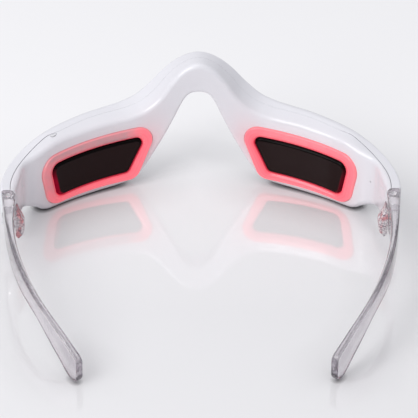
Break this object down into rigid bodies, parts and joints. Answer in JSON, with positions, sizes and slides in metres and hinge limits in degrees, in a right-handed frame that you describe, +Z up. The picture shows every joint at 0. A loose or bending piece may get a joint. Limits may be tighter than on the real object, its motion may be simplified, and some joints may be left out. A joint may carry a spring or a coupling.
{
  "type": "light therapy eye glasses",
  "caption": "Light-therapy eye glasses: white wrap-round frame with glowing red light rings round dark windows on the wearer's side, and clear folding temples.",
  "frame": {"origin": "under the middle of the whole part, on the surface that the lobes and temple tips rest on", "axes": "+Z up, +Y the way the wearer looks, +X to the wearer's right; the temples run back along -Y"},
  "size_m": [0.158, 0.1572, 0.055],
  "materials": {
    "white_shell": "gloss",
    "light_ring": "translucent, lit from behind",
    "tinted_window": "high gloss, near-black red",
    "clear_plastic": "clear, polished",
    "steel": "bright",
    "light_board": "white solder mask",
    "light_emitter": "satin",
    "circuit_board": "satin",
    "pouch_cell": "satin foil",
    "flat_cable": "satin film",
    "black_plastic": "matte"
  },
  "bodies": {
    "frame": {"rear_housing": "white_shell", "front_cover": "white_shell", "battery": "pouch_cell", "main_board": "circuit_board", "tact_switch": "black_plastic", "charge_port": "steel", "bridge_cable": "flat_cable", "status_light_pipe": "clear_plastic", "left_light_ring": "light_ring", "left_window": "tinted_window", "left_led_board": "light_board", "left_led_1": "light_emitter", "left_led_2": "light_emitter", "left_led_3": "light_emitter", "left_led_4": "light_emitter", "left_led_5": "light_emitter", "left_led_6": "light_emitter", "right_light_ring": "light_ring", "right_window": "tinted_window", "right_led_board": "light_board", "right_led_1": "light_emitter", "right_led_2": "light_emitter", "right_led_3": "light_emitter", "right_led_4": "light_emitter", "right_led_5": "light_emitter", "right_led_6": "light_emitter"},
    "left_temple": {"left_temple": "clear_plastic", "left_hinge_block": "clear_plastic", "left_block_screw_low": "steel", "left_block_screw_high": "steel", "left_hinge_pin": "steel"},
    "right_temple": {"right_temple": "clear_plastic", "right_hinge_block": "clear_plastic", "right_block_screw_low": "steel", "right_block_screw_high": "steel", "right_hinge_pin": "steel"},
    "power_button": {"power_button": "white_shell"}
  },
  "joints": [
    {"name": "left_temple_fold", "type": "hinge", "parent": "frame", "child": "left_temple", "pos_m": [-0.076, 0.01572, 0.019], "axis": [0, 0, 1], "range_deg": [0, 90]},
    {"name": "right_temple_fold", "type": "hinge", "parent": "frame", "child": "right_temple", "pos_m": [0.076, 0.01572, 0.019], "axis": [0, 0, -1], "range_deg": [0, 73]},
    {"name": "power_press", "type": "slide", "parent": "frame", "child": "power_button", "axis": [-0.5534, -0.8329, 0], "range_m": [0, 0.0005], "stiffness_N_per_m": 3000}
  ]
}
